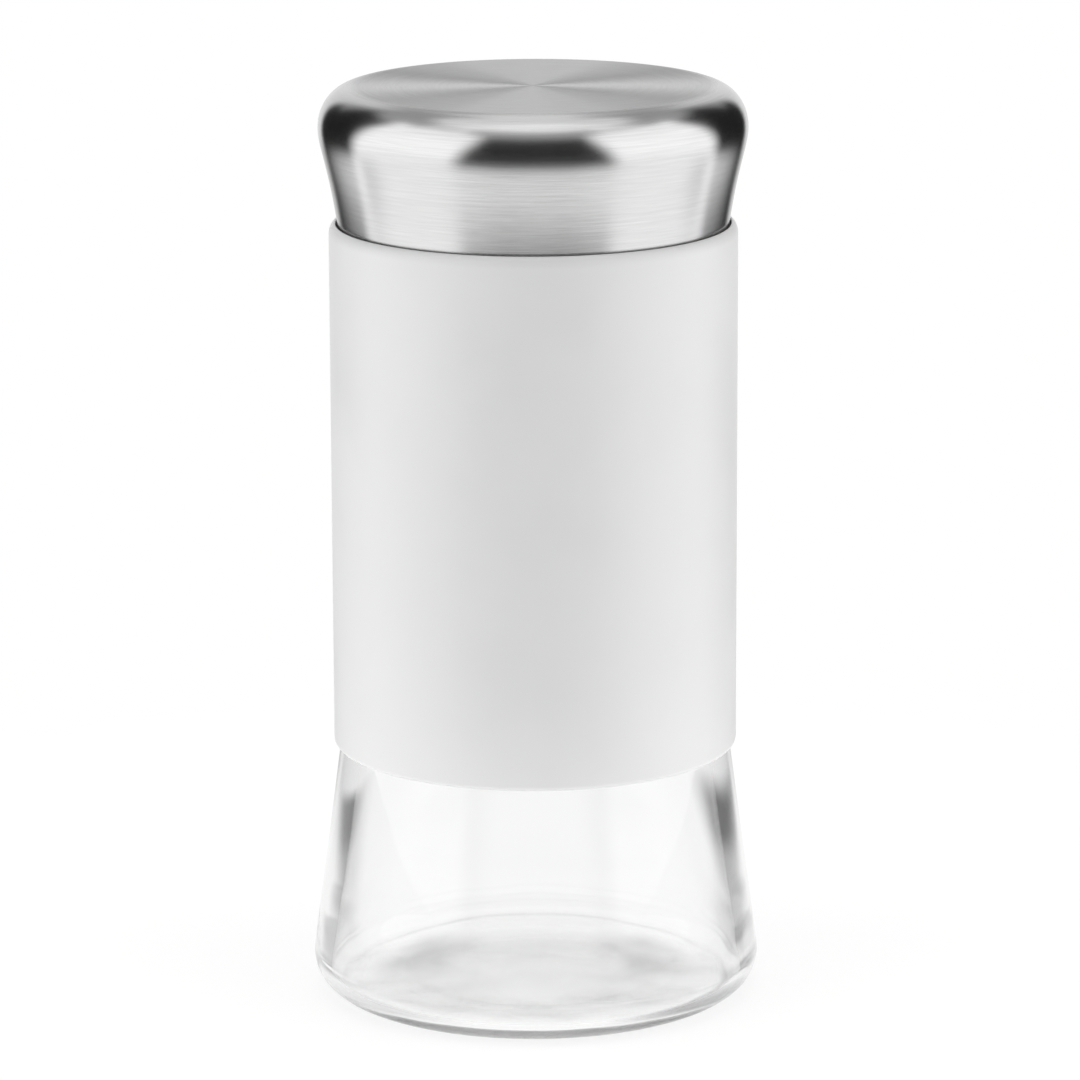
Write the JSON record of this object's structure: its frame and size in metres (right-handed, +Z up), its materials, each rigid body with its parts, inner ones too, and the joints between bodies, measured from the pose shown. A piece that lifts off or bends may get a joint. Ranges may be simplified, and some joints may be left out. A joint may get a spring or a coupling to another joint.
{
  "type": "salt shaker",
  "caption": "Glass salt shaker with a flared base, a painted metal sleeve, a perforated pouring insert and a brushed steel screw cap.",
  "frame": {"origin": "centre of the foot, on the surface that the shaker stands on", "axes": "+Z up along the axis of the jar and cap; -Y is the front, where the picture looks from; +X to its right"},
  "size_m": [0.0564, 0.0564, 0.115],
  "materials": {
    "glass": "clear polished glass",
    "sleeve_paint": "satin white paint on thin steel",
    "tape": "double-sided foam tape",
    "sifter_plastic": "moulded natural polyethylene",
    "seal": "soft foamed polyethylene",
    "liner_plastic": "moulded polypropylene",
    "glue": "set hot-melt adhesive",
    "brushed_steel": "stainless steel, brushed round its axis"
  },
  "bodies": {
    "jar": {"glass_jar": "glass", "sleeve": "sleeve_paint", "sleeve_tape_upper": "tape", "sleeve_tape_lower": "tape", "sifter_insert": "sifter_plastic"},
    "seal": {"seal_disc": "seal"},
    "cap": {"cap_liner": "liner_plastic", "cap_glue_ring": "glue", "cap_shell": "brushed_steel"}
  },
  "joints": [
    {"name": "cap_lift", "type": "slide", "parent": "jar", "child": "seal", "axis": [0, 0, 1], "range_m": [0, 0.0181]},
    {"name": "cap_turn", "type": "hinge", "parent": "seal", "child": "cap", "pos_m": [0, 0, 0.1], "axis": [0, 0, 1], "range_deg": [0, 540]}
  ],
  "couplings": [
    {"joint": "cap_lift", "follows": "cap_turn", "m_per_rad": 0.0019099}
  ]
}
